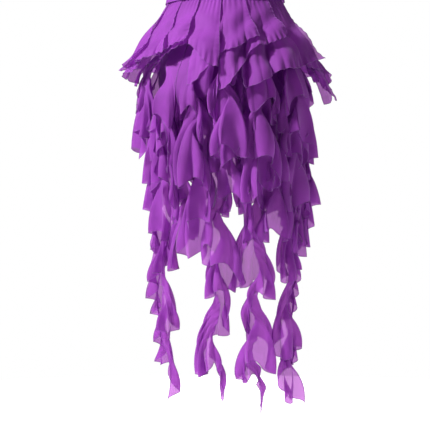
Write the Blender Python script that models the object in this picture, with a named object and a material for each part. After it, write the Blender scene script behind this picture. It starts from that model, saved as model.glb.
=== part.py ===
# Chiffon ruffle hip scarf, as it hangs when tied round the hips.
#
# Metres, +Z up, the wearer's front towards -Y. The origin is the middle of the waist opening,
# level with the scarf's top edge, so everything hangs below it.
#
# The cloth is laid out round a plain oval hip form by three numbers: a turn round the form, a
# height and a distance out from it. From the body outwards lie the base wrap, the inner ruffles,
# the outer ruffles, the upper ruffles at the back, the flounces and the binding with its knot.
# Each kind keeps to its own range of distances at every height, so that the layers nest and never
# cross.

import math
from collections import namedtuple

import bpy
from mathutils import Vector

# Cloth
WALL = 0.0010
SEAM_GAP = 0.0006
PURPLE = (0.33, 0.055, 0.50, 1.0)
CLOTH_ROUGHNESS = 0.62

# The hip form: half breadth across, half depth front to back, and how far the middle lies back.
# It runs straight from row to row, and is full from HIP_LEVEL down.
FormRow = namedtuple("FormRow", "height half_breadth half_depth back")
HIP_LEVEL = -0.190
HIP_FORM = (
    FormRow(0.010, 0.137, 0.106, 0.000),
    FormRow(-0.050, 0.148, 0.114, 0.004),
    FormRow(-0.120, 0.161, 0.122, 0.008),
    FormRow(HIP_LEVEL, 0.168, 0.127, 0.010),
    FormRow(-1.100, 0.168, 0.127, 0.010),
)

# The base wrap that all the ruffles are sewn to. It meets under the knot, in front and to the
# wearer's right, and laps over itself there.
WRAP_HEIGHTS = (0.0, -0.050, -0.085, -0.120, HIP_LEVEL, -0.310)
WRAP_OPENING = math.radians(292)
WRAP_LAP = math.radians(8)
WRAP_LAP_OUT = 0.003
WRAP_LAP_FROM = 0.955
WRAP_LAP_RISE = 0.03
WRAP_COLUMNS = 56

# The binding over the tops of the flounces, and the knot that closes it
BINDING_TOP = 0.004
BINDING_HEIGHT = 0.013
BINDING_OUT = 0.0116
BINDING_CLEAR = math.radians(4)
KNOT_TURN = WRAP_OPENING
KNOT_HEIGHT = BINDING_TOP - BINDING_HEIGHT / 2
KNOT_OUT = 0.0219
KNOT_SIZE = (0.017, 0.012, 0.015)
KNOT_SEGMENTS = 12
KNOT_RINGS = 7

# The loose ends under the knot. turn is in degrees from the knot, sway is the degrees by which
# the end drifts further round as it drops, and the end swings out over the flounces below it.
TieEnd = namedtuple("TieEnd", "name turn drop breadth sway")
TIE_ENDS = (
    TieEnd("tie_end_right", -4.0, 0.235, 0.040, -3.0),
    TieEnd("tie_end_left", 4.0, 0.205, 0.036, 4.0),
)
TIE_ROWS = 8
TIE_COLUMNS = 3
TIE_GATHERED = 0.35
TIE_SEAT = 0.93
TIE_BOW = 0.004
TIE_SWING = 0.082
TIE_SWING_DROP = 0.22

# Layers of ruffle. attach is where the upper end is sewn on, fall is the drop over which the
# layer swings out to its full distance, out is that distance, and reach_in and reach_out are how
# far a ruffle stands from its hanging line towards and away from the body. Below free, nothing
# lies over the layer, and reach_low takes the place of reach_out. room_drop is the drop over
# which the ruffles open to that reach, and straight is the drop to their first turning.
Layer = namedtuple("Layer", "attach fall out reach_in reach_out reach_low free room_drop straight")
INNER = Layer(-0.170, 0.070, 0.0178, 0.0145, 0.0145, 0.034, -0.60, 0.08, 0.016)
OUTER = Layer(-0.085, 0.170, 0.0485, 0.0140, 0.0140, 0.017, -0.33, 0.08, 0.016)
UPPER = Layer(-0.045, 0.220, 0.0815, 0.0140, 0.0095, 0.022, -0.200, 0.12, 0.200)

# Ruffles: spiral-cut strips sewn on by one end. turn is in degrees round the form, end is the
# height of the lowest point, breadth is the width of the strip, pitch the drop in which it makes
# one full turn and way the side it turns to.
Ruffle = namedtuple("Ruffle", "turn end breadth pitch way")
INNER_RUFFLES = (
    Ruffle(318, -0.450, 0.111, 0.120, 1),
    Ruffle(348, -0.500, 0.115, 0.124, -1),
    Ruffle(21, -0.620, 0.118, 0.120, 1),
    Ruffle(54, -0.950, 0.122, 0.131, 1),
    Ruffle(80, -0.630, 0.111, 0.120, -1),
    Ruffle(105, -0.980, 0.124, 0.138, -1),
    Ruffle(136, -1.006, 0.126, 0.133, 1),
    Ruffle(174, -1.000, 0.124, 0.133, -1),
    Ruffle(208, -0.560, 0.115, 0.124, 1),
    Ruffle(237, -0.460, 0.113, 0.120, -1),
    Ruffle(263, -0.440, 0.111, 0.124, 1),
)
OUTER_RUFFLES = (
    Ruffle(319, -0.340, 0.115, 0.120, -1),
    Ruffle(346, -0.350, 0.115, 0.124, 1),
    Ruffle(14, -0.350, 0.115, 0.126, -1),
    Ruffle(41, -0.380, 0.122, 0.124, 1),
    Ruffle(67, -0.500, 0.131, 0.126, -1),
    Ruffle(93, -0.600, 0.136, 0.129, 1),
    Ruffle(118, -0.550, 0.128, 0.126, -1),
    Ruffle(145, -0.600, 0.118, 0.124, 1),
    Ruffle(172, -0.625, 0.115, 0.126, -1),
    Ruffle(200, -0.570, 0.118, 0.129, 1),
    Ruffle(226, -0.450, 0.120, 0.126, -1),
    Ruffle(251, -0.380, 0.118, 0.124, 1),
    Ruffle(273, -0.330, 0.113, 0.126, -1),
)
UPPER_RUFFLES = (
    Ruffle(71, -0.400, 0.122, 0.126, 1),
    Ruffle(93, -0.460, 0.122, 0.124, -1),
    Ruffle(115, -0.380, 0.122, 0.128, 1),
    Ruffle(137, -0.480, 0.122, 0.124, -1),
    Ruffle(160, -0.420, 0.120, 0.126, 1),
)

# A ruffle is gathered to NECK_BREADTH of its breadth where it is sewn on and opens over
# OPENING_DROP, counted from NECK_LEAD above its sewn end. NECK_SPINE and SPINE say how far across
# its breadth it hangs there and below. DROOP is the slope, in degrees, of its near and far edge.
# A reach of FILL of its breadth just fills the room that its layer has.
NECK_BREADTH = 0.36
NECK_SPINE = 0.35
NECK_LEAD = 0.02
OPENING_DROP = 0.10
SPINE = 0.25
DROOP = (20.0, 62.0)
FILL = 0.36
TAIL = 0.6

# The layer's room opens from ROOM_LEAD above the sewn end, and widens over FREE_DROP once
# nothing lies over the layer
ROOM_LEAD = 0.005
FREE_DROP = 0.10

# Where a ruffle's points lie across it, and how many rows of them it has to a turn
STATIONS = (0.0, 0.33, 0.67, 1.0)
ROWS_PER_TURN = 8

# Flounces: the broad top row, each sewn flat along the top edge. early, middle and late are the
# heights of the hem across a flounce, in the order that turn grows.
Flounce = namedtuple("Flounce", "turn span early middle late")
FLOUNCES = (
    Flounce(15, 42, -0.200, -0.170, -0.160),
    Flounce(42, 42, -0.190, -0.165, -0.150),
    Flounce(66, 38, -0.180, -0.150, -0.128),
    Flounce(89, 36, -0.165, -0.135, -0.180),
    Flounce(112, 36, -0.215, -0.150, -0.120),
    Flounce(136, 38, -0.225, -0.140, -0.118),
    Flounce(162, 42, -0.230, -0.190, -0.165),
    Flounce(191, 42, -0.185, -0.190, -0.245),
    Flounce(220, 42, -0.250, -0.180, -0.195),
    Flounce(249, 42, -0.200, -0.165, -0.175),
    Flounce(324, 38, -0.180, -0.150, -0.165),
    Flounce(348, 38, -0.210, -0.160, -0.175),
)

# How much wider a flounce is at FLOUNCE_DEEP than at its top, how far out it falls over
# FLOUNCE_FALL, and how far one side of it laps over the next flounce at the top and lower down
FLOUNCE_TOP = -0.002
FLOUNCE_DEEP = 0.20
FLOUNCE_SPREAD = 0.36
FLOUNCE_OUT = 0.095
FLOUNCE_FALL = 0.26
FLOUNCE_LAP = (0.0052, 0.014)
FLOUNCE_COLUMNS = 14
FLOUNCE_ROWS = 4

# The flounces' folds: how many to a full turn round the form, how deep, how pinched their
# valleys are, and the waves that make them wide here and narrow there
FOLDS_ROUND = 17
FOLD_DEPTH = 0.026
FOLD_PINCH = 1.2
Drift = namedtuple("Drift", "waves size start")
FOLD_DRIFTS = (Drift(3, 1.3, 0.0), Drift(5, 0.9, 1.0))


def smooth(t):
    """0 up to t of 0, 1 from t of 1, and a soft rise between."""
    t = min(max(t, 0.0), 1.0)
    return t * t * (3 - 2 * t)


def mix(low, high, share):
    return low + (high - low) * share


def form_at(height):
    """Half breadth, half depth and setback of the hip form at a height."""
    rows = HIP_FORM
    height = min(max(height, rows[-1].height), rows[0].height)
    for above, below in zip(rows, rows[1:]):
        if height >= below.height:
            share = (above.height - height) / (above.height - below.height)
            break
    return tuple(mix(a, b, share) for a, b in zip(above[1:], below[1:]))


def round_speed(turn, height, out):
    """Metres of cloth to one radian of turn."""
    half_breadth, half_depth, _ = form_at(height)
    return math.hypot((half_breadth + out) * math.sin(turn), (half_depth + out) * math.cos(turn))


def place(turn, height, out):
    """The point at that turn, height and distance out from the form."""
    half_breadth, half_depth, back = form_at(height)
    across, deep = math.cos(turn), math.sin(turn)
    normal = Vector((across / half_breadth, deep / half_depth, 0)).normalized()
    foot = Vector((half_breadth * across, half_depth * deep + back, height))
    return foot + normal * out


def cloth_material():
    material = bpy.data.materials.new("chiffon")
    material.use_nodes = True
    shader = material.node_tree.nodes["Principled BSDF"]
    shader.inputs["Base Color"].default_value = PURPLE
    shader.inputs["Roughness"].default_value = CLOTH_ROUGHNESS
    shader.inputs["Metallic"].default_value = 0.0
    return material


def cloth(name, rows, thickness=WALL):
    """One piece of cloth through a grid of points, given its thickness by a Solidify modifier.

    Each cell is split along its shorter diagonal, so that both faces of the wall bend alike.
    """
    columns = len(rows[0])
    points = [point for row in rows for point in row]
    faces = []
    for i in range(len(rows) - 1):
        for j in range(columns - 1):
            a = i * columns + j
            b, c, d = a + 1, a + columns + 1, a + columns
            if (points[a] - points[c]).length < (points[b] - points[d]).length:
                faces += [(a, b, c), (a, c, d)]
            else:
                faces += [(a, b, d), (b, c, d)]
    mesh = bpy.data.meshes.new(name)
    mesh.from_pydata(points, [], faces)
    mesh.validate()
    mesh.shade_smooth()
    mesh.materials.append(cloth_material())
    piece = bpy.data.objects.new(name, mesh)
    bpy.context.scene.collection.objects.link(piece)
    wall = piece.modifiers.new("cloth_wall", "SOLIDIFY")
    wall.thickness = thickness
    wall.offset = 0.0
    return piece


def layer_out(layer, height):
    """How far out a layer's hanging lines lie at a height."""
    return mix(WALL + SEAM_GAP, layer.out, smooth((layer.attach - height) / layer.fall))


def ruffle_point(layer, ruffle, down, across):
    """A point of a ruffle, down metres below its sewn end and across from 0 to 1 of its breadth.

    The strip hangs from a plumb line. Its breadth points sideways at the top, then turns round
    the line like a corkscrew, and droops more the further it reaches. The whole is then
    flattened into the room that its layer has at each height.
    """
    opening = smooth((down + NECK_LEAD) / OPENING_DROP)
    wave = 2 * math.pi * max(down - layer.straight, 0) / ruffle.pitch
    heading = wave if ruffle.way > 0 else math.pi - wave
    breadth = ruffle.breadth * mix(NECK_BREADTH, 1.0, opening * opening)
    reach = (across - mix(NECK_SPINE, SPINE, opening)) * breadth
    tilt = math.radians(mix(*DROOP, across)) * opening
    sideways = reach * math.cos(tilt) * math.cos(heading)
    outwards = reach * math.cos(tilt) * math.sin(heading) / (FILL * ruffle.breadth)
    height = layer.attach - down - reach * math.sin(tilt)
    low = smooth((layer.free - height) / FREE_DROP)
    room = mix(layer.reach_out, layer.reach_low, low) if outwards > 0 else layer.reach_in
    outwards *= room * smooth((layer.attach - height + ROOM_LEAD) / layer.room_drop)
    line = math.radians(ruffle.turn)
    turn = line + sideways / round_speed(line, HIP_LEVEL, layer.out)
    return place(turn, height, layer_out(layer, height) + outwards)


def ruffle_piece(name, layer, ruffle):
    length = layer.attach - ruffle.end - TAIL * ruffle.breadth
    rows = round(length / ruffle.pitch * ROWS_PER_TURN)
    grid = []
    for i in range(rows + 1):
        down = length * i / rows
        grid.append([ruffle_point(layer, ruffle, down, across) for across in STATIONS])
    return cloth(name, grid)


def fold_shape(turn):
    """Round crests with narrow valleys between, from 0 in a valley to 1 on a crest."""
    wave = FOLDS_ROUND * turn
    for drift in FOLD_DRIFTS:
        wave += drift.size * math.sin(drift.waves * turn + drift.start)
    return abs(math.sin(wave / 2)) ** FOLD_PINCH


def hem_height(flounce, across):
    """The height of the hem, across from 0 to 1 of the flounce in the order that turn grows."""
    if across < 0.5:
        return mix(flounce.early, flounce.middle, smooth(2 * across))
    return mix(flounce.middle, flounce.late, smooth(2 * across - 1))


def flounce_point(flounce, across, share):
    """A point of a flounce, share of the way down from its top to its hem."""
    height = mix(FLOUNCE_TOP, hem_height(flounce, across), share)
    depth = smooth(-height / FLOUNCE_DEEP)
    span = math.radians(flounce.span) * (1 + FLOUNCE_SPREAD * depth)
    turn = math.radians(flounce.turn) + span * (across - 0.5)
    lap = across * mix(*FLOUNCE_LAP, depth)
    fall = FLOUNCE_OUT * min((FLOUNCE_TOP - height) / FLOUNCE_FALL, 1.0)
    fold = FOLD_DEPTH * min(-height / FLOUNCE_DEEP, 1.0) ** 2 * fold_shape(turn)
    return place(turn, height, WALL + SEAM_GAP + lap + fall + fold)


def flounce_piece(name, flounce):
    shares = [j / (FLOUNCE_COLUMNS - 1) for j in range(FLOUNCE_COLUMNS)]
    grid = []
    for i in range(FLOUNCE_ROWS + 1):
        grid.append([flounce_point(flounce, across, i / FLOUNCE_ROWS) for across in shares])
    return cloth(name, grid)


def base_wrap():
    """The plain wrap next to the body, open at the front and lapped there."""
    grid = []
    whole = 2 * math.pi + WRAP_LAP
    for height in WRAP_HEIGHTS:
        row = []
        for j in range(WRAP_COLUMNS + 1):
            share = j / WRAP_COLUMNS
            turn = WRAP_OPENING + whole * (share - 1)
            lap = WRAP_LAP_OUT * smooth((share - WRAP_LAP_FROM) / WRAP_LAP_RISE)
            row.append(place(turn, height, lap))
        grid.append(row)
    return cloth("base_wrap", grid)


def binding():
    """The band round the top edge, from one side of the knot to the other."""
    grid = []
    for height in (BINDING_TOP, BINDING_TOP - BINDING_HEIGHT):
        row = []
        for j in range(WRAP_COLUMNS + 1):
            turn = KNOT_TURN + mix(BINDING_CLEAR, 2 * math.pi - BINDING_CLEAR, j / WRAP_COLUMNS)
            row.append(place(turn, height, BINDING_OUT))
        grid.append(row)
    return cloth("waist_binding", grid)


def knot():
    """The knot as one rounded, slightly flattened body, turned to face out."""
    centre = place(KNOT_TURN, KNOT_HEIGHT, KNOT_OUT)
    facing = place(KNOT_TURN, centre.z, 1.0) - centre
    bpy.ops.mesh.primitive_uv_sphere_add(
        segments=KNOT_SEGMENTS,
        ring_count=KNOT_RINGS,
        radius=1.0,
        location=centre,
        rotation=(0, 0, math.atan2(facing.y, facing.x) + math.pi / 2),
        scale=KNOT_SIZE,
    )
    piece = bpy.context.object
    piece.name = "tie_knot"
    piece.data.shade_smooth()
    piece.data.materials.append(cloth_material())
    return piece


def tie_end(end):
    """One loose end, hanging from just under the knot over the flounces."""
    top = KNOT_HEIGHT - TIE_SEAT * KNOT_SIZE[2] - SEAM_GAP
    grid = []
    for i in range(TIE_ROWS + 1):
        share = i / TIE_ROWS
        height = top - end.drop * share
        breadth = end.breadth * mix(TIE_GATHERED, 1.0, smooth(2 * share))
        middle = KNOT_TURN + math.radians(end.turn + end.sway * share)
        swing = KNOT_OUT + TIE_SWING * smooth(-height / TIE_SWING_DROP)
        row = []
        for j in range(TIE_COLUMNS):
            across = j / (TIE_COLUMNS - 1) - 0.5
            out = swing + TIE_BOW * math.cos(math.pi * across)
            turn = middle + across * breadth / round_speed(middle, height, out)
            row.append(place(turn, height, out))
        grid.append(row)
    return cloth(end.name, grid)


def clear_scene():
    for thing in list(bpy.data.objects):
        bpy.data.objects.remove(thing)


def main():
    clear_scene()
    base_wrap()
    binding()
    knot()
    for end in TIE_ENDS:
        tie_end(end)
    for n, flounce in enumerate(FLOUNCES, 1):
        flounce_piece(f"flounce_{n:02d}", flounce)
    for title, layer, ruffles in (
        ("upper_ruffle", UPPER, UPPER_RUFFLES),
        ("outer_ruffle", OUTER, OUTER_RUFFLES),
        ("inner_ruffle", INNER, INNER_RUFFLES),
    ):
        for n, ruffle in enumerate(ruffles, 1):
            ruffle_piece(f"{title}_{n:02d}", layer, ruffle)


main()
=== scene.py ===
# %% [markdown]
# A belly dance scarf is a wide band of chiffon that is tied round the hips. Dozens of spiral-cut
# strips are sewn to it by one end, so that they hang in corkscrews, and a row of broad flounces
# covers their sewn ends. Here the fine cloth is made round a plain imported model, which already
# says where each piece hangs. The frame is loaded first, and its box is kept to set the floor by.

# %% The frame
import math
from collections import namedtuple

import bpy
import numpy as np
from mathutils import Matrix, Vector


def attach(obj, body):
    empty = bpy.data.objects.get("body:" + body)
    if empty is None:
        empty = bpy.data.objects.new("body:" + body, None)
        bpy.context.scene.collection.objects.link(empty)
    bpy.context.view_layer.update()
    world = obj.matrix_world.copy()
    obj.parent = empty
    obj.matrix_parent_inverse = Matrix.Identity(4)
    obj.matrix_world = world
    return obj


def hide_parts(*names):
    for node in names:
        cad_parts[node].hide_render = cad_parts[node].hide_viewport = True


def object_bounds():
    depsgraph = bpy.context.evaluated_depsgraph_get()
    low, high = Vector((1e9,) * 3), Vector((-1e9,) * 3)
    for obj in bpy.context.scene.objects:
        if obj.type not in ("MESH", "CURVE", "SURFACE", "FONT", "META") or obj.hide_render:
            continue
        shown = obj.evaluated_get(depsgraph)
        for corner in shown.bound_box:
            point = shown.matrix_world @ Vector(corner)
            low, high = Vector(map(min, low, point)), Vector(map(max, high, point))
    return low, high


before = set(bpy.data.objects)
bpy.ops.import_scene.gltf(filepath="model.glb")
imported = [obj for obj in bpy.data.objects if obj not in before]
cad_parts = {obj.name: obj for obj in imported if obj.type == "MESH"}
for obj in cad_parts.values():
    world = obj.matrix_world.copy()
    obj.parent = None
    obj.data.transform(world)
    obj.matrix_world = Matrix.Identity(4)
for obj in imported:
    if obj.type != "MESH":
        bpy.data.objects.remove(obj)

CAD_BOX = [list(corner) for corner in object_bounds()]
bpy.ops.object.select_all(action="DESELECT")
print("nodes in the frame:", len(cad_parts))

# %% [markdown]
# A renderer works in straight numbers, but a colour picked on a screen is bent by a curve.
# One small function unbends it, so that each colour below can be written as it looks. The curve is
# the usual one of screens, but for its straight foot, which only near-black colours would need.


# %% Colours as they look
SCREEN_FOOT = 0.055
SCREEN_GAMMA = 2.4


def seen(red, green, blue):
    """A colour given from 0 to 255 as a screen shows it, in the renderer's own numbers."""
    shares = (red / 255, green / 255, blue / 255)
    straight = [((share + SCREEN_FOOT) / (1 + SCREEN_FOOT)) ** SCREEN_GAMMA for share in shares]
    return (*straight, 1.0)


print("middle grey in the renderer's numbers:", round(seen(128, 128, 128)[0], 3))

# %% [markdown]
# Material maths reads best as plain expressions. This class wraps the socket of a node: adding,
# multiplying or subtracting two of them lays down the Math node that does it. Every other node
# comes from one method, which takes the node's type, its settings and what goes into its sockets.


# %% A socket that does sums
class Sum:
    """A node's output socket, with the usual operators."""

    def __init__(self, shader, socket):
        self.shader, self.socket = shader, socket

    def math(self, operation, *others):
        return self.shader.node("ShaderNodeMath", {"operation": operation}, self, *others)

    def __add__(self, other):
        return self.math("ADD", other)

    def __mul__(self, other):
        return self.math("MULTIPLY", other)

    def __sub__(self, other):
        return self.math("SUBTRACT", other)

    def __rsub__(self, other):
        return self.shader.node("ShaderNodeMath", {"operation": "SUBTRACT"}, other, self)

    def clamped(self, low, high):
        return self.math("MAXIMUM", low).math("MINIMUM", high)

    __radd__ = __add__
    __rmul__ = __mul__


print("sockets can be added, multiplied and subtracted")


# %% A material and its nodes
class Shader:
    """A new material and a short way to add nodes to it."""

    def __init__(self, name):
        self.material = bpy.data.materials.new(name)
        self.material.use_nodes = True
        self.tree = self.material.node_tree
        self.tree.nodes.clear()

    def socket_of(self, made, key):
        """An input by its number, its name or, where names repeat, its identifier."""
        if isinstance(key, int):
            return made.inputs[key]
        known = {socket.identifier: socket for socket in made.inputs}
        return known.get(key) or made.inputs[key.replace("_", " ")]

    def node(self, kind, settings=None, *values, out=0, **named):
        """A node of one kind with its settings, then the values or links of its sockets."""
        made = self.tree.nodes.new(kind)
        for key, value in (settings or {}).items():
            setattr(made, key, value)
        for key, value in list(enumerate(values)) + list(named.items()):
            socket = self.socket_of(made, key)
            if isinstance(value, Sum):
                self.tree.links.new(value.socket, socket)
            else:
                socket.default_value = value
        if made.outputs:
            return Sum(self, made.outputs[out])


print("a material can be built node by node")

# %% [markdown]
# Chiffon is a sheer plain weave of fine twisted threads. Part of the light passes straight
# through it, part is scattered and glows on the far side, and the rest comes back with a soft
# sheen. So three shaders are mixed: a transparent one tinted by the thread, a translucent one,
# and a principled one. A single see-through shader would look like tinted glass, and a thin
# painted wall would have no glow. Where two layers overlap they darken each other, as chiffon
# does. The long tails hang alone and look sheerest. The wrap and the ties are of closer cloth.

# %% Chiffon
Chiffon = namedtuple("Chiffon", "lit deep glow clear sheerness")
RUFFLE_PURPLE = Chiffon(
    lit=seen(166, 74, 190),
    deep=seen(138, 58, 160),
    glow=seen(180, 78, 202),
    clear=seen(244, 176, 250),
    sheerness=0.22,
)
TAIL_PURPLE = Chiffon(
    lit=seen(166, 76, 190),
    deep=seen(144, 62, 166),
    glow=seen(190, 88, 212),
    clear=seen(246, 182, 250),
    sheerness=0.30,
)
WRAP_PURPLE = Chiffon(
    lit=seen(140, 62, 164),
    deep=seen(122, 50, 144),
    glow=seen(140, 60, 166),
    clear=seen(240, 170, 250),
    sheerness=0.06,
)
TIE_PURPLE = Chiffon(
    lit=seen(170, 80, 194),
    deep=seen(150, 66, 174),
    glow=seen(184, 86, 208),
    clear=seen(246, 184, 252),
    sheerness=0.16,
)
print("sheerness of the ruffles and of the tails:", RUFFLE_PURPLE.sheerness, TAIL_PURPLE.sheerness)

# %% [markdown]
# The cloth's relief is too fine for a mesh, so a bump stands for it. A product of two sets of bands,
# laid on the sheet's own flat map, is the weave. Two noises on Object coordinates are the crinkle
# of twisted threads and the soft crumple of worn cloth. They may run on from sheet to sheet.

# %% Relief of the cloth
THREAD_SPACING = 0.0006
BAND_SCALE = 0.3
CRINKLE_SIZE = 0.010
CRUMPLE_SIZE = 0.038
WEAVE_SHARE = 0.05
CRINKLE_SHARE = 0.5
CRUMPLE_SHARE = 2.2
OBJECT_PLACE = 3


def weave_of(shader):
    """Threads that cross, as the product of two sets of bands on the flat map."""
    flat = shader.node("ShaderNodeUVMap", {"uv_map": "cloth"})
    scale = BAND_SCALE / THREAD_SPACING
    weave = 1.0
    for direction in ("X", "Y"):
        threads = {"bands_direction": direction}
        bands = shader.node("ShaderNodeTexWave", threads, flat, Scale=scale, Distortion=0.6, out=1)
        weave = weave * bands
    return weave


def relief(shader, place):
    """The bumps of the cloth at a place."""
    crinkle = shader.node("ShaderNodeTexNoise", None, place, Scale=1 / CRINKLE_SIZE, Detail=3.0)
    crumple = shader.node("ShaderNodeTexNoise", None, place, Scale=1 / CRUMPLE_SIZE, Detail=1.0)
    height = crinkle * CRINKLE_SHARE + weave_of(shader) * WEAVE_SHARE + crumple * CRUMPLE_SHARE
    return shader.node("ShaderNodeBump", None, Strength=0.45, Distance=0.0022, Height=height)


print("threads in a centimetre:", round(0.01 / THREAD_SPACING, 1))

# %% [markdown]
# Now the three parts are mixed. The colour of the shining part drifts slowly between a lit and a
# deep purple, because dyed chiffon is never quite even. The noise stays near its middle, so it is
# cut off and stretched before it mixes the two.

# %% The chiffon's three shaders
SHADE_SCALE = 9.0
SHADE_FLOOR = 0.35
SHADE_RANGE = 0.3
SHADE_GAIN = 3.0
GLOW_SHARE = 0.18


def shade(shader, pattern, low, high):
    """One colour that drifts to another where a pattern rises."""
    return shader.node("ShaderNodeMix", {"data_type": "RGBA"}, pattern, A_Color=low, B_Color=high, out=2)


def chiffon(name, cloth):
    """Sheer cloth: a tinted see-through part, a glowing part and a softly shining part."""
    shader = Shader(name)
    place = shader.node("ShaderNodeTexCoord", None, out=OBJECT_PLACE)
    bump = relief(shader, place)
    drift = shader.node("ShaderNodeTexNoise", None, place, Scale=SHADE_SCALE, Detail=2.0)
    uneven = (drift - SHADE_FLOOR).clamped(0.0, SHADE_RANGE) * SHADE_GAIN
    colour = shade(shader, uneven, cloth.lit, cloth.deep)
    body = shader.node(
        "ShaderNodeBsdfPrincipled",
        None,
        Base_Color=colour,
        Roughness=0.68,
        Specular_IOR_Level=0.2,
        Sheen_Weight=0.25,
        Sheen_Roughness=0.4,
        Normal=bump,
    )
    glow = shader.node("ShaderNodeBsdfTranslucent", None, Color=cloth.glow, Normal=bump)
    clear = shader.node("ShaderNodeBsdfTransparent", None, Color=cloth.clear)
    solid = shader.node("ShaderNodeMixShader", None, GLOW_SHARE, body, glow)
    sheer = shader.node("ShaderNodeMixShader", None, cloth.sheerness, solid, clear)
    shader.node("ShaderNodeOutputMaterial", None, sheer)
    return shader.material


ruffle_cloth = chiffon("chiffon_of_ruffles", RUFFLE_PURPLE)
tail_cloth = chiffon("chiffon_of_tails", TAIL_PURPLE)
wrap_cloth = chiffon("chiffon_of_wrap", WRAP_PURPLE)
tie_cloth = chiffon("chiffon_of_ties", TIE_PURPLE)
print("materials:", [m.name for m in (ruffle_cloth, tail_cloth, wrap_cloth, tie_cloth)])

# %% [markdown]
# The edge of each piece is a rolled hem: the cloth is turned over twice and overlocked with
# thread, which leaves a firm, darker line along it. It is opaque, so one principled shader does,
# with a fine noise that raises the thread's bumps and paints shade into the low gaps between them.

# %% Rolled hem thread
HEM_RADIUS = 0.0006
STITCH_SPACING = 0.0016
STITCH_PURPLE = seen(138, 60, 164)
# Painted shade: the darker purple of the low gaps between the thread's bumps.
GAP_SHADE_PURPLE = seen(112, 46, 136)


def hem_thread():
    """The overlocked edge: bumps of thread, with painted shade in the low gaps between them."""
    shader = Shader("rolled_hem")
    place = shader.node("ShaderNodeTexCoord", None, out=OBJECT_PLACE)
    stitch_bumps_and_shade = shader.node("ShaderNodeTexNoise", None, place, Scale=1 / STITCH_SPACING, Detail=1.0)
    bump = shader.node("ShaderNodeBump", None, Strength=0.4, Distance=0.0004, Height=stitch_bumps_and_shade)
    # The noise that makes the bump also paints shade: the colour is darker where the relief is low.
    colour = shade(shader, stitch_bumps_and_shade, GAP_SHADE_PURPLE, STITCH_PURPLE)
    body = shader.node(
        "ShaderNodeBsdfPrincipled", None, Base_Color=colour, Roughness=0.6, Normal=bump, Sheen_Weight=0.2
    )
    shader.node("ShaderNodeOutputMaterial", None, body)
    return shader.material


hem_cloth = hem_thread()
print("hem material:", hem_cloth.name)

# %% [markdown]
# Everything hangs round an oval hip form. A point of cloth is given by a turn round the form, a
# height, and a distance out from it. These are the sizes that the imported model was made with, so
# the fine cloth falls where its plain pieces hang.

# %% The hip form
HIP_LEVEL = -0.190
FORM_HEIGHTS = (-1.100, HIP_LEVEL, -0.120, -0.050, 0.010)
FORM_HALF_BREADTHS = (0.168, 0.168, 0.161, 0.148, 0.137)
FORM_HALF_DEPTHS = (0.127, 0.127, 0.122, 0.114, 0.106)
FORM_SETBACKS = (0.010, 0.010, 0.008, 0.004, 0.000)
WALL = 0.0010
SEAM_GAP = 0.0006


def smooth(t):
    """0 up to t of 0, 1 from t of 1, and a soft rise between."""
    t = np.clip(t, 0.0, 1.0)
    return t * t * (3 - 2 * t)


def mix(low, high, share):
    """A share of the way from low to high."""
    return low + (high - low) * share


def form_at(height):
    """Half breadth, half depth and setback of the hip form at each height."""
    sizes = (FORM_HALF_BREADTHS, FORM_HALF_DEPTHS, FORM_SETBACKS)
    return [np.interp(height, FORM_HEIGHTS, size) for size in sizes]


def round_speed(turn, height, out):
    """Metres of cloth to one radian of turn."""
    half_breadth, half_depth, _ = form_at(height)
    return np.hypot((half_breadth + out) * np.sin(turn), (half_depth + out) * np.cos(turn))


def placed(turn, height, out):
    """The points at those turns, heights and distances out from the form."""
    half_breadth, half_depth, back = form_at(height)
    across, deep = np.cos(turn), np.sin(turn)
    normal_x, normal_y = across / half_breadth, deep / half_depth
    size = np.hypot(normal_x, normal_y)
    x = half_breadth * across + out * normal_x / size
    y = half_depth * deep + back + out * normal_y / size
    return np.stack([x, y, height + 0 * turn], axis=-1)


once_round = np.linspace(0, math.tau, 720)
hip_girth = math.tau * float(round_speed(once_round, HIP_LEVEL, 0).mean())
print("hip girth:", round(hip_girth, 2), "m")

# %% [markdown]
# A sheet is a grid of points with a face in each cell. Cloth could also be dropped and simulated,
# but then it would fall another way after each small change, and a formula always hangs the same.
# The sheet also carries a flat map of itself, in metres, so that the weave follows the cloth
# wherever it turns. Real cloth is never as even as a formula, so a small push along the surface's
# own normal adds its ripples and creases.


# %% Cloth from a grid of points
def unit_normals(grid):
    """The direction that each point of a grid faces."""
    down = np.gradient(grid, axis=0)
    across = np.gradient(grid, axis=1)
    normal = np.cross(across, down)
    return normal / np.maximum(np.linalg.norm(normal, axis=-1, keepdims=True), 1e-9)


def cloth(name, grid, flat_u, flat_v, material):
    """One sheet through a grid of points, its flat map in metres in flat_u and flat_v."""
    rows, columns = grid.shape[:2]
    first = (np.arange(rows - 1)[:, None] * columns + np.arange(columns - 1)).ravel()
    faces = np.stack([first, first + 1, first + columns + 1, first + columns], axis=1)
    mesh = bpy.data.meshes.new(name)
    mesh.from_pydata(grid.reshape(-1, 3).tolist(), [], faces.tolist())
    flat = np.stack([flat_u.ravel(), flat_v.ravel()], axis=1)[faces.ravel()]
    mesh.uv_layers.new(name="cloth").data.foreach_set("uv", flat.ravel().astype(np.float32))
    mesh.shade_smooth()
    mesh.materials.append(material)
    piece = bpy.data.objects.new(name, mesh)
    bpy.context.scene.collection.objects.link(piece)
    return piece


square = np.array([[[0.0, 0.0, 0.0], [0.1, 0.0, 0.0]], [[0.0, 0.0, -0.1], [0.1, 0.0, -0.1]]])
print("a square hung along the x axis faces", unit_normals(square)[0, 0])

# %% [markdown]
# The hem is a round line along the sheet's edge. A bevelled curve draws it through the very points
# of the edge, so it can't part from the cloth, and it is then turned into a mesh.


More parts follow.
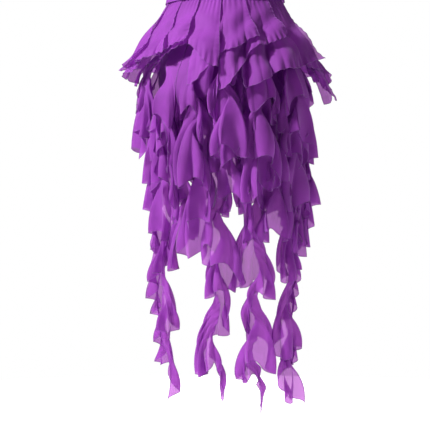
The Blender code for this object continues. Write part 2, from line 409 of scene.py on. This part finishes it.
# %% A hem along an edge
def rolled_hem(name, points):
    """A thin cord along the edge of a sheet, through its points in order."""
    curve = bpy.data.curves.new(name, "CURVE")
    curve.dimensions = "3D"
    curve.bevel_depth = HEM_RADIUS
    curve.bevel_resolution = 0
    curve.use_fill_caps = True
    spline = curve.splines.new("POLY")
    spline.points.add(len(points) - 1)
    spline.points.foreach_set("co", np.c_[points, np.ones(len(points))].ravel())
    line = bpy.data.objects.new(name, curve)
    bpy.context.scene.collection.objects.link(line)
    bpy.ops.object.select_all(action="DESELECT")
    line.select_set(True)
    bpy.context.view_layer.objects.active = line
    bpy.ops.object.convert(target="MESH")
    line.data.materials.clear()
    line.data.materials.append(hem_cloth)
    line.data.shade_smooth()
    line.select_set(False)
    return line


print("a hem is", round(2000 * HEM_RADIUS, 1), "mm thick")

# %% [markdown]
# A maker needs each piece's flat size. The cells of the grid add up to its area, and its long lines
# give its length. With its hem, the sheet then stands for the plain piece of the imported model, which
# is hidden, and both are hung from the root.


# %% Measuring a sheet and putting it in its place
def lengths(grid, axis):
    """The length of each of the grid's lines along one axis."""
    return np.linalg.norm(np.diff(grid, axis=axis), axis=-1).sum(axis=axis)


def cloth_area(grid):
    """The area of all cells of a grid, each as half the cross product of its diagonals."""
    falling, rising = grid[1:, 1:] - grid[:-1, :-1], grid[1:, :-1] - grid[:-1, 1:]
    return float(np.linalg.norm(np.cross(falling, rising), axis=-1).sum() / 2)


def dressed(name, grid, material):
    """Lets one sheet with a rolled hem stand for a node of the frame."""
    rows, columns = grid.shape[:2]
    along = np.linspace(0, 1, rows)[:, None] + np.zeros(columns)
    across = np.linspace(0, 1, columns) + np.zeros((rows, 1))
    length = float(lengths(grid, 0).mean())
    area = cloth_area(grid)
    breadth = area / length
    piece = cloth(name + "_cloth", grid, across * breadth, along * length, material)
    down_and_up = (grid[:, 0], grid[-1, 1:-1], grid[::-1, -1])
    hem = rolled_hem(name + "_hem", np.concatenate(down_and_up))
    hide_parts(name)
    for part in (piece, hem):
        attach(part, "root")
    return piece


print("area of the square of 10 cm:", round(cloth_area(square), 4), "square metres")

# %% [markdown]
# The ruffles are strips cut as a spiral out of a disc. Hung by one end, such a strip cannot lie
# flat: it turns about its own line like a corkscrew, and its longer edge swings out in bells.
# It could be swept along a screw line, but the screw's width would then have to be flattened
# against the hips afterwards, so each point is worked out on the hip form from the start. The
# three tables hold one row for each strip: where it is sewn on, in degrees round the form, how low
# it ends, its breadth, about how far it drops in one turn, and the way it turns. The strips hang in
# three layers. A layer's row says how high it is sewn on, over what fall it swings out and how far,
# how much room it has inwards, outwards and low down, from where it hangs free, over what drop its
# room opens, and how far it hangs straight before it turns.

# %% The ruffles' sizes
Layer = namedtuple("Layer", "attach fall out reach_in reach_out reach_low free room_drop straight")
INNER = Layer(-0.170, 0.070, 0.0178, 0.0145, 0.0145, 0.034, -0.60, 0.08, 0.016)
OUTER = Layer(-0.085, 0.170, 0.0485, 0.0140, 0.0140, 0.017, -0.33, 0.08, 0.016)
UPPER = Layer(-0.045, 0.220, 0.0815, 0.0140, 0.0095, 0.022, -0.200, 0.12, 0.100)
Ruffle = namedtuple("Ruffle", "turn end breadth pitch way")
INNER_RUFFLES = (
    Ruffle(318, -0.450, 0.111, 0.120, 1),
    Ruffle(348, -0.500, 0.115, 0.124, -1),
    Ruffle(21, -0.620, 0.118, 0.120, 1),
    Ruffle(54, -0.950, 0.122, 0.131, 1),
    Ruffle(80, -0.630, 0.111, 0.120, -1),
    Ruffle(105, -0.980, 0.124, 0.138, -1),
    Ruffle(136, -1.006, 0.126, 0.133, 1),
    Ruffle(174, -1.000, 0.124, 0.133, -1),
    Ruffle(208, -0.560, 0.115, 0.124, 1),
    Ruffle(237, -0.460, 0.113, 0.120, -1),
    Ruffle(263, -0.440, 0.111, 0.124, 1),
)
OUTER_RUFFLES = (
    Ruffle(319, -0.340, 0.115, 0.120, -1),
    Ruffle(346, -0.350, 0.115, 0.124, 1),
    Ruffle(14, -0.350, 0.115, 0.126, -1),
    Ruffle(41, -0.380, 0.122, 0.124, 1),
    Ruffle(67, -0.500, 0.131, 0.126, -1),
    Ruffle(93, -0.600, 0.136, 0.129, 1),
    Ruffle(118, -0.550, 0.128, 0.126, -1),
    Ruffle(145, -0.600, 0.118, 0.124, 1),
    Ruffle(172, -0.625, 0.115, 0.126, -1),
    Ruffle(200, -0.570, 0.118, 0.129, 1),
    Ruffle(226, -0.450, 0.120, 0.126, -1),
    Ruffle(251, -0.380, 0.118, 0.124, 1),
    Ruffle(273, -0.330, 0.113, 0.126, -1),
)
UPPER_RUFFLES = (
    Ruffle(71, -0.400, 0.122, 0.126, 1),
    Ruffle(93, -0.460, 0.122, 0.124, -1),
    Ruffle(115, -0.380, 0.122, 0.128, 1),
    Ruffle(137, -0.480, 0.122, 0.124, -1),
    Ruffle(160, -0.420, 0.120, 0.126, 1),
)
NECK_BREADTH = 0.36
NECK_SPINE = 0.35
NECK_LEAD = 0.02
OPENING_DROP = 0.10
SPINE = 0.14
DROOP = (33.0, 74.0)
FILL = 0.36
TAIL = 0.69
ROOM_LEAD = 0.005
FREE_DROP = 0.10
print("strips:", len(INNER_RUFFLES) + len(OUTER_RUFFLES) + len(UPPER_RUFFLES))

# %% [markdown]
# No two bells of a real ruffle are alike. The strip's line sways a little, its turns come now
# sooner and now later, and its breadth breathes. It also lingers where it lies flat to the side
# and flips over quickly in between, and there its hem hangs down in a point. Noise could do this
# too, but a few slow waves never kink. Each is started differently on each strip by its seed.

# %% How a hanging strip strays from an even corkscrew
SWAY = 0.010
SWAY_DROP = 0.52
PACE = 0.62
PACE_DROP = 0.37
BREATH = 0.24
BREATH_DROP = 0.21
DWELL = 0.16
POINT = 0.17
POINT_LEAN = 0.9
FULLER = 1.10
STRETCH = 0.96
LATE = 0.035
LONG_DROP = 0.36
LONG_PACE = 0.84
LONG_BREADTH = 0.86
print("breadths vary from", round(1 - BREATH, 2), "to", round(1 + BREATH, 2), "of a strip's mean")

# %% [markdown]
# A point of the strip reaches sideways and outwards from the hanging line as the strip turns. It
# also droops, more at the long edge than at the short one, which makes a bell out of each turn.
# What reaches outwards is flattened into the layer's room, so the layers nest round the hips.


# %% Where a strip's cloth lies
def first_turn(layer, seed):
    """How far below its sewn end this strip starts to turn."""
    return layer.straight + max(LATE * math.sin(5.3 * seed), 0.01 - layer.straight)


def slow_wave(down, drop, seed):
    """A slow wave down the strip, one whole wave in each drop metres."""
    return np.sin(2 * math.pi * down / drop + seed)


def layer_out(layer, height):
    """How far out a layer's hanging lines lie at a height."""
    return mix(WALL + SEAM_GAP, layer.out, smooth((layer.attach - height) / layer.fall))


def ruffle_points(layer, ruffle, seed, down, across):
    """Points down metres below the sewn end, across from 0 to 1 of the strip's breadth."""
    opening = smooth((down + NECK_LEAD) / OPENING_DROP)
    turning = np.maximum(down - first_turn(layer, seed), 0)
    turning = np.minimum(turning, LONG_DROP) + LONG_PACE * np.maximum(turning - LONG_DROP, 0)
    wave = 2 * math.pi * turning / (STRETCH * ruffle.pitch)
    wave = wave + PACE * smooth(turning / 0.1) * slow_wave(down, PACE_DROP, 2.1 * seed)
    wave = wave - DWELL * np.sin(2 * wave)
    heading = wave if ruffle.way > 0 else math.pi - wave
    breath = 1 + BREATH * slow_wave(down, BREATH_DROP, 1.3 * seed)
    full = FULLER * breath * mix(1.0, LONG_BREADTH, smooth((down - LONG_DROP) / 0.15))
    breadth = ruffle.breadth * mix(NECK_BREADTH, full, opening * opening)
    reach = (across - mix(NECK_SPINE, SPINE, opening)) * breadth
    tilt = np.radians(mix(*DROOP, across)) * opening
    sideways = reach * np.cos(tilt) * np.cos(heading)
    outwards = reach * np.cos(tilt) * np.sin(heading) / (FILL * FULLER * ruffle.breadth)
    point = POINT * ruffle.breadth * across**2 * opening * np.cos(2 * wave - POINT_LEAN)
    hang = reach * np.sin(tilt) + point
    height = layer.attach - down - hang
    low = smooth((layer.free - height) / FREE_DROP)
    room = np.where(outwards > 0, mix(layer.reach_out, layer.reach_low, low), layer.reach_in)
    outwards = outwards * room * smooth((layer.attach - height + ROOM_LEAD) / layer.room_drop)
    line = math.radians(ruffle.turn)
    sideways = sideways + SWAY * smooth(down / 0.25) * slow_wave(down, SWAY_DROP, 3.7 * seed)
    turn = line + sideways / round_speed(line, HIP_LEVEL, layer.out)
    return placed(turn, height, layer_out(layer, height) + outwards)


for layer in (INNER, OUTER, UPPER):
    print("hanging line", round(float(layer_out(layer, HIP_LEVEL)), 3), "m out at the hips")

# %% [markdown]
# A rolled hem is stretched a little as it is sewn, so it ripples like the edge of a lettuce leaf.
# Longer flutes run from the hanging line out to the hem. Both grow towards the edges and both
# wander, because their phase is itself a slow wave that differs from strip to strip.

# %% Ripples and cone folds
ROWS_PER_TURN = 88
RUFFLE_COLUMNS = 28
RIPPLE_LENGTH = 0.0150
RIPPLE_HEIGHT = 0.0017
FLUTE_LENGTH = 0.021
FLUTE_HEIGHT = 0.044


def wander(along, length, seed):
    """A wave's phase along a line, wandering from an even pace."""
    slow = np.sin(2 * math.pi * along / (7.3 * length) + 1.7 * seed)
    slower = np.sin(2 * math.pi * along / (17.0 * length) + 2.9 * seed)
    return 2 * math.pi * along / length + 1.5 * slow + 1.1 * slower + seed


def ruffled(layer, grid, down, across, seed):
    """The strip's grid with its cone folds and hem ripples."""
    turned = smooth((down - first_turn(layer, seed) - 0.005) / 0.07)
    cone = np.abs(np.sin(wander(down, FLUTE_LENGTH, seed) / 2)) ** 0.65 - 0.65
    flute = FLUTE_HEIGHT * np.abs(across - SPINE) ** 1.2 * cone * turned
    far_hem = smooth((across - 0.70) / 0.30) * np.sin(wander(down, RIPPLE_LENGTH, seed + 1))
    near_hem = smooth((0.22 - across) / 0.22) * np.sin(wander(down, 1.3 * RIPPLE_LENGTH, seed + 2))
    size = 0.65 + 0.35 * slow_wave(down, 0.083, 3 * seed)
    push = flute + RIPPLE_HEIGHT * size * (far_hem + 0.7 * near_hem) * (0.3 + 0.7 * turned)
    return grid + unit_normals(grid) * (push * smooth(down / 0.06))[..., None]


print("ripples along a metre of hem:", round(1 / RIPPLE_LENGTH))

# %% [markdown]
# With all that in place, a strip is one call, and the three tables are worked through. The inner
# strips, which end in the long tails, get the sheerest cloth.


# %% All the strips
def ruffle_piece(name, material, layer, ruffle, seed):
    """One strip, from its row in the table."""
    length = layer.attach - ruffle.end - TAIL * FULLER * ruffle.breadth
    rows = round(length / ruffle.pitch * ROWS_PER_TURN)
    lines = np.linspace(0, length, rows + 1), np.linspace(0, 1, RUFFLE_COLUMNS)
    down, across = np.meshgrid(*lines, indexing="ij")
    grid = ruffled(layer, ruffle_points(layer, ruffle, seed, down, across), down, across, seed)
    return dressed(name, grid, material)


for title, material, slot, layer, ruffles in (
    ("upper_ruffle", ruffle_cloth, "outer_chiffon", UPPER, UPPER_RUFFLES),
    ("outer_ruffle", ruffle_cloth, "outer_chiffon", OUTER, OUTER_RUFFLES),
    ("inner_ruffle", tail_cloth, "inner_chiffon", INNER, INNER_RUFFLES),
):
    faces = 0
    for n, ruffle in enumerate(ruffles, 1):
        seed = 0.37 * n * n + len(slot)
        piece = ruffle_piece(f"{title}_{n:02d}", material, layer, ruffle, seed)
        faces += len(piece.data.polygons)
    print(title, "strips:", len(ruffles), "faces:", faces)

# %% [markdown]
# The top row is broad flounces, each a cut sheet sewn flat along the scarf's top edge. They lap
# over one another like shingles, fall open in a few deep folds, and each has a slanting hem. They
# could be pulled out of a cone by hand. Here all of them read their folds from one wave that runs
# round the hips, so that the folds of neighbours nest. Each row of the table gives a flounce's turn
# and span in degrees, and how low its hem is at its early edge, its middle and its late edge.

# %% The flounces' sizes
Flounce = namedtuple("Flounce", "turn span early middle late")
FLOUNCES = (
    Flounce(15, 42, -0.200, -0.170, -0.160),
    Flounce(42, 42, -0.190, -0.165, -0.150),
    Flounce(66, 38, -0.180, -0.150, -0.128),
    Flounce(89, 36, -0.165, -0.135, -0.180),
    Flounce(112, 36, -0.215, -0.150, -0.120),
    Flounce(136, 38, -0.225, -0.140, -0.118),
    Flounce(162, 42, -0.230, -0.190, -0.165),
    Flounce(191, 42, -0.185, -0.190, -0.245),
    Flounce(220, 42, -0.250, -0.180, -0.195),
    Flounce(249, 42, -0.200, -0.165, -0.175),
    Flounce(324, 38, -0.180, -0.150, -0.165),
    Flounce(348, 38, -0.210, -0.160, -0.175),
)
FLOUNCE_TOP = -0.002
FLOUNCE_DEEP = 0.20
FLOUNCE_SPREAD = 0.36
FLOUNCE_OUT = 0.089
FLOUNCE_FALL = 0.26
FLOUNCE_LAP = (0.0052, 0.014)
FOLDS_ROUND = 17
FOLD_DEPTH = 0.026
FOLD_PINCH = 0.9
FINE_FOLDS = 2.3
FINE_FOLD_DEPTH = 0.0060
FLARE = 0.014
HEM_CONTRAST = 1.25
Drift = namedtuple("Drift", "waves size start")
FOLD_DRIFTS = (Drift(3, 1.3, 0.0), Drift(5, 0.9, 1.0))
print("flounces:", len(FLOUNCES), "over", FOLDS_ROUND, "folds")

# %% [markdown]
# A flounce's hem is a soft line through its three heights. Its cloth lies a little further out
# towards its late edge, so that it laps over the next one, and it spreads as it falls.


# %% Where a flounce's cloth lies
def flounce_fold(turn, height):
    """How far the flounces' folds stand out: round crests with narrow valleys between."""
    wave = FOLDS_ROUND * turn
    for drift in FOLD_DRIFTS:
        wave = wave + drift.size * np.sin(drift.waves * turn + drift.start)
    growth = np.minimum(-height / FLOUNCE_DEEP, 1.0)
    fine = FINE_FOLD_DEPTH * np.abs(np.sin(FINE_FOLDS * wave / 2)) * growth**2
    return FOLD_DEPTH * growth**1.5 * np.abs(np.sin(wave / 2)) ** FOLD_PINCH + fine


def flounce_points(flounce, across, share, skew):
    """Points of a flounce, across in the order that turn grows, share of the way to the hem."""
    early_half = mix(flounce.early, flounce.middle, smooth(2 * across))
    late_half = mix(flounce.middle, flounce.late, smooth(2 * across - 1))
    hem = np.where(across < 0.5, early_half, late_half)
    level = (flounce.early + flounce.middle + flounce.late) / 3
    hem = level + HEM_CONTRAST * (hem - level)
    height = mix(FLOUNCE_TOP, hem, share)
    depth = smooth(-height / FLOUNCE_DEEP)
    span = math.radians(flounce.span) * (1 + FLOUNCE_SPREAD * depth)
    turn = math.radians(flounce.turn) + span * (across - 0.5) + math.radians(skew) * depth
    lap = across * mix(*FLOUNCE_LAP, depth) + FLARE * across**2 * share**2
    fall = FLOUNCE_OUT * np.minimum((FLOUNCE_TOP - height) / FLOUNCE_FALL, 1.0)
    out = WALL + SEAM_GAP + lap + fall + flounce_fold(turn, height)
    return placed(turn, height, out)


folds = flounce_fold(once_round, -FLOUNCE_DEEP)
print("the deepest fold stands out by", round(float(folds.max()), 3), "m")

# %% [markdown]
# The last touch on a flounce is small: gathers under its seam, one soft drape that runs aslant, and
# ripples along the hem and the two sides. They fade out where they would pull at the seam.

# %% One flounce after another
FLOUNCE_COLUMNS = 96
FLOUNCE_ROWS = 56
GATHER_LENGTH = 0.12
GATHER_HEIGHT = 0.0008
SKEW = 9.0
DRAPE_HEIGHT = 0.0042
DRAPE_DROP = 0.11
FLOUNCE_BREADTH = 0.15
FLOUNCE_LENGTH = 0.2


def flounce_push(across, share, seed):
    """How far a flounce's ripples, gathers and drape push its cloth."""
    hem_wave = np.sin(wander(across * FLOUNCE_BREADTH, 0.9 * RIPPLE_LENGTH, seed))
    hem_wave = hem_wave * smooth((share - 0.80) / 0.20)
    sides = smooth((0.10 - across) / 0.10) + smooth((across - 0.90) / 0.10)
    side_wave = np.sin(wander(share * FLOUNCE_LENGTH, 1.2 * RIPPLE_LENGTH, seed + 1))
    side_wave = side_wave * sides * smooth(share / 0.4)
    gathers = np.sin(wander(across, GATHER_LENGTH, seed + 2))
    gathers = gathers * smooth((0.5 - share) / 0.5) * smooth(share / 0.05)
    drape = np.sin(2 * math.pi * (share * FLOUNCE_LENGTH / DRAPE_DROP + 0.9 * across) + seed)
    drape = drape * smooth(share / 0.7)
    return RIPPLE_HEIGHT * (hem_wave + 0.5 * side_wave) + GATHER_HEIGHT * gathers + DRAPE_HEIGHT * drape


def flounce_piece(name, flounce, seed):
    """One flounce, from its row in the table."""
    lines = np.linspace(0, 1, FLOUNCE_ROWS + 1), np.linspace(0, 1, FLOUNCE_COLUMNS)
    share, across = np.meshgrid(*lines, indexing="ij")
    grid = flounce_points(flounce, across, share, SKEW * math.sin(seed))
    push = flounce_push(across, share, seed)
    return dressed(name, grid + unit_normals(grid) * push[..., None], ruffle_cloth)


faces = 0
for n, flounce in enumerate(FLOUNCES, 1):
    piece = flounce_piece(f"flounce_{n:02d}", flounce, 0.61 * n * n)
    faces += len(piece.data.polygons)
print("faces of the flounces:", faces)

# %% [markdown]
# Under it all lies the base wrap, one wide strip that meets in front and laps over itself. It
# takes all the seams, so it is of a closer weave and lets little light through. A plain tube would
# look like a can. Worn cloth creases softly where the hip rounds out, so low waves run round it,
# pressed inwards where there is room.

# %% The base wrap
WRAP_OPENING = math.radians(292)
WRAP_LAP = math.radians(8)
WRAP_LAP_OUT = 0.003
WRAP_LAP_FROM = 0.955
WRAP_LAP_RISE = 0.03
WRAP_HEM = -0.310
WRAP_CREASE = 0.0016
lines = np.linspace(0.0, WRAP_HEM, 90), np.linspace(0, 1, 420)
height, share = np.meshgrid(*lines, indexing="ij")
turn = WRAP_OPENING + (2 * math.pi + WRAP_LAP) * (share - 1)
lap = WRAP_LAP_OUT * smooth((share - WRAP_LAP_FROM) / WRAP_LAP_RISE)
crease = 0.5 + 0.5 * np.sin(wander(-height + 0.02 * np.sin(5 * turn), 0.034, 0.4))
crease = crease * (0.5 + 0.5 * np.sin(3 * turn + 20 * height)) * smooth(-height / 0.05)
grid = placed(turn, height, lap - WRAP_CREASE * crease)
dressed("base_wrap", grid, wrap_cloth)
print("wrap girth:", round(float(lengths(placed(turn, height, lap), 1)[0]), 3), "m")

# %% [markdown]
# The top edge is bound: a strip of the same cloth is folded over the top of the wrap and of the
# flounces and sewn down on both sides. A flat ring would hide no edge, so its section is an
# upside-down U, carried round the waist, and the stitching puckers it a little.

# %% The waist binding
BINDING_TOP = 0.004
BINDING_HEIGHT = 0.013
BINDING_OUT = 0.0116
BINDING_CLEAR = math.radians(4)
BINDING_INSIDE = -0.0018
BINDING_OUTSIDE = BINDING_OUT + 0.0014
PUCKER_LENGTH = 0.0075
PUCKER_HEIGHT = 0.0006
lines = np.linspace(0, 1, 700), np.linspace(-1, 1, 31)
share, over = np.meshgrid(*lines, indexing="ij")
turn = WRAP_OPENING + mix(BINDING_CLEAR, 2 * math.pi - BINDING_CLEAR, share)
bend = np.sign(over) * smooth(np.abs(over) / 0.55)
leg = np.maximum(np.abs(over) - 0.35, 0) / 0.65
height = BINDING_TOP - BINDING_HEIGHT * leg**1.4
pucker = PUCKER_HEIGHT * np.sin(wander(share, PUCKER_LENGTH, 0.3)) * smooth((np.abs(over) - 0.1) / 0.4)
middle = (BINDING_INSIDE + BINDING_OUTSIDE) / 2
out = middle + bend * ((BINDING_OUTSIDE - BINDING_INSIDE) / 2 + pucker)
grid = placed(turn, height, out)
dressed("waist_binding", grid, tie_cloth)
print("binding length:", round(float(lengths(grid, 0)[0]), 3), "m")

# %% [markdown]
# The scarf closes with a knot in front, a little to one side. A knot is cloth drawn tight over
# itself. A whole knot could be tied from one strip, but only its outside shows, so here it is one
# rounded sheet whose folds run slantwise round it.

# %% The knot
KNOT_HEIGHT = BINDING_TOP - BINDING_HEIGHT / 2
KNOT_OUT = 0.0219
KNOT_SIZE = (0.017, 0.012, 0.015)
KNOT_FOLDS = 7
KNOT_FOLD_DEPTH = 0.10
KNOT_POLE = 0.06
lines = np.linspace(KNOT_POLE, math.pi - KNOT_POLE, 60), np.linspace(0, 2 * math.pi, 121)
rise, round_it = np.meshgrid(*lines, indexing="ij")
fold = np.abs(np.sin(KNOT_FOLDS / 2 * round_it + 1.9 * rise + 0.6 * np.sin(2 * round_it)))
size = 1 - KNOT_FOLD_DEPTH * (1 - fold**0.7) * np.sin(rise)
level_x, level_y = np.cos(round_it), np.sin(round_it)
ball = np.stack([np.sin(rise) * level_x, np.sin(rise) * level_y, np.cos(rise)], axis=-1)
centre = placed(np.float64(WRAP_OPENING), KNOT_HEIGHT, KNOT_OUT)
facing = placed(np.float64(WRAP_OPENING), KNOT_HEIGHT, 1.0) - centre
facing = facing / np.linalg.norm(facing)
beside = np.array([-facing[1], facing[0], 0.0])
axes = np.stack([beside * KNOT_SIZE[0], facing * KNOT_SIZE[1], np.array([0, 0, KNOT_SIZE[2]])])
grid = centre + (ball * size[..., None]) @ axes
piece = dressed("tie_knot", grid, tie_cloth)
print("knot breadth:", round(piece.dimensions.x, 3), "m")

# %% [markdown]
# Two loose ends hang from the knot. Each is gathered hard where it leaves the knot, so soft pleats
# run down it and die out, and it swings out over the flounces under it. A flat ribbon would look
# like paper, so the pleats and the rippled edges are pushed out of it along its normal.

# %% The tie ends
TieEnd = namedtuple("TieEnd", "name turn drop breadth sway")
TIE_ENDS = (
    TieEnd("tie_end_right", -4.0, 0.235, 0.040, -3.0),
    TieEnd("tie_end_left", 4.0, 0.205, 0.036, 4.0),
)
TIE_GATHERED = 0.35
TIE_SEAT = 0.93
TIE_BOW = 0.004
TIE_SWING = 0.082
TIE_SWING_DROP = 0.22
TIE_PLEATS = 3.5
TIE_PLEAT_DEPTH = 0.0028


def tie_end(end, seed):
    """One loose end, from its row in the table."""
    lines = np.linspace(0, 1, 150), np.linspace(-0.5, 0.5, 33)
    share, across = np.meshgrid(*lines, indexing="ij")
    height = KNOT_HEIGHT - TIE_SEAT * KNOT_SIZE[2] - SEAM_GAP - end.drop * share
    breadth = end.breadth * mix(TIE_GATHERED, 1.0, smooth(2 * share))
    middle = WRAP_OPENING + np.radians(end.turn + end.sway * share)
    swing = KNOT_OUT + TIE_SWING * smooth(-height / TIE_SWING_DROP)
    out = swing + TIE_BOW * np.cos(math.pi * across)
    turn = middle + across * breadth / round_speed(middle, height, out)
    grid = placed(turn, height, out)
    pleats = np.cos(2 * math.pi * TIE_PLEATS * across + seed)
    pleats = pleats * (1 - 0.75 * smooth(share)) * smooth(share / 0.04)
    edge = np.sin(wander(share * end.drop, RIPPLE_LENGTH, seed))
    edge = edge * smooth((np.abs(across) - 0.36) / 0.14)
    push = TIE_PLEAT_DEPTH * pleats + 0.6 * RIPPLE_HEIGHT * edge * smooth(share / 0.1)
    return dressed(end.name, grid + unit_normals(grid) * push[..., None], tie_cloth)


for n, end in enumerate(TIE_ENDS):
    tie_end(end, 1.3 * n)
print("tie ends:", [end.name for end in TIE_ENDS])

# %% [markdown]
# The floor, the light and the camera come last. The scarf hangs free, as worn, so the floor is a
# plain pale disc some way under it. It gives light of its own, so that it melts into the white
# round it.

# %% Floor
FLOOR_DROP = 0.085
FLOOR_RADIUS = 1.6

bpy.ops.mesh.primitive_circle_add(
    vertices=96, radius=FLOOR_RADIUS, fill_type="NGON", location=(0, 0, CAD_BOX[0][2] - FLOOR_DROP)
)
floor = bpy.context.object
floor.name = "floor"
floor_paint = Shader("floor_paint")
floor_paint.node(
    "ShaderNodeOutputMaterial",
    None,
    floor_paint.node(
        "ShaderNodeBsdfPrincipled",
        None,
        Base_Color=(0.92, 0.92, 0.92, 1.0),
        Roughness=0.8,
        Emission_Color=(1.0, 1.0, 1.0, 1.0),
        Emission_Strength=0.86,
    ),
)
floor.data.materials.append(floor_paint.material)
print("floor level:", round(CAD_BOX[0][2] - FLOOR_DROP, 3), "m")

# %% [markdown]
# A photo studio is white all round, but cloth lit evenly from all sides looks flat. So the world
# looks white to the camera and gives less light than that, and lamps shape the folds.

# %% White surround
AMBIENT = 0.05
world = bpy.data.worlds.new("studio")
bpy.context.scene.world = world
world.use_nodes = True
tree = world.node_tree
tree.nodes.clear()
surround, ambient = (tree.nodes.new("ShaderNodeBackground") for _ in range(2))
surround.inputs["Strength"].default_value = 1.0
ambient.inputs["Strength"].default_value = AMBIENT
for background in (surround, ambient):
    background.inputs["Color"].default_value = (1.0, 1.0, 1.0, 1.0)
seen_or_lit = tree.nodes.new("ShaderNodeMixShader")
tree.links.new(tree.nodes.new("ShaderNodeLightPath").outputs["Is Camera Ray"], seen_or_lit.inputs[0])
tree.links.new(ambient.outputs[0], seen_or_lit.inputs[1])
tree.links.new(surround.outputs[0], seen_or_lit.inputs[2])
tree.links.new(seen_or_lit.outputs[0], tree.nodes.new("ShaderNodeOutputWorld").inputs[0])
bpy.context.scene.view_settings.view_transform = "Standard"
print("light from all round:", AMBIENT)

# %% [markdown]
# A strong key lamp from the camera's left and above draws the folds. Two weaker lamps, one at its
# right and one before the scarf's front, keep those sides from going dark.

# %% Lamps
PHOTO_PIXEL = 0.0025
FRAME_WIDTH = 430 * PHOTO_PIXEL
AIM_HEIGHT = -0.5 * FRAME_WIDTH


def softbox(name, azimuth, height, distance, size, power):
    """A square lamp of that size and power, turned to the middle of the scarf."""
    light = bpy.data.lights.new(name, "AREA")
    light.energy = power
    light.size = size
    lamp = bpy.data.objects.new(name, light)
    bpy.context.scene.collection.objects.link(lamp)
    angle = math.radians(azimuth)
    lamp.location = (distance * math.sin(angle), -distance * math.cos(angle), height)
    aim = Vector((0, 0, AIM_HEIGHT)) - lamp.location
    lamp.rotation_euler = aim.to_track_quat("-Z", "Y").to_euler()


softbox("key", azimuth=143, height=1.6, distance=2.3, size=0.4, power=142)
softbox("fill", azimuth=288, height=0.6, distance=3.0, size=1.2, power=24)
softbox("front", azimuth=20, height=1.0, distance=3.0, size=1.2, power=30)
print("lamps:", len(bpy.data.lights))

# %% [markdown]
# The camera stands level with the middle of the scarf, at the photograph's angle. Its lens is set
# so that one pixel of a picture 430 pixels wide covers 2.5 mm at the scarf.

# %% Camera
PHOTO_AZIMUTH = math.radians(205)
CAMERA_DISTANCE = 4.0
AIM_RIGHT = -10 * PHOTO_PIXEL
back = Vector((math.sin(PHOTO_AZIMUTH), -math.cos(PHOTO_AZIMUTH), 0))
right = Vector((math.cos(PHOTO_AZIMUTH), math.sin(PHOTO_AZIMUTH), 0))
camera = bpy.data.objects.new("camera", bpy.data.cameras.new("camera"))
bpy.context.scene.collection.objects.link(camera)
camera.location = Vector((0, 0, AIM_HEIGHT)) + right * AIM_RIGHT + back * CAMERA_DISTANCE
camera.rotation_euler = (-back).to_track_quat("-Z", "Y").to_euler()
camera.data.lens = camera.data.sensor_width * CAMERA_DISTANCE / FRAME_WIDTH
bpy.context.scene.camera = camera
print("lens:", round(camera.data.lens, 1), "mm")
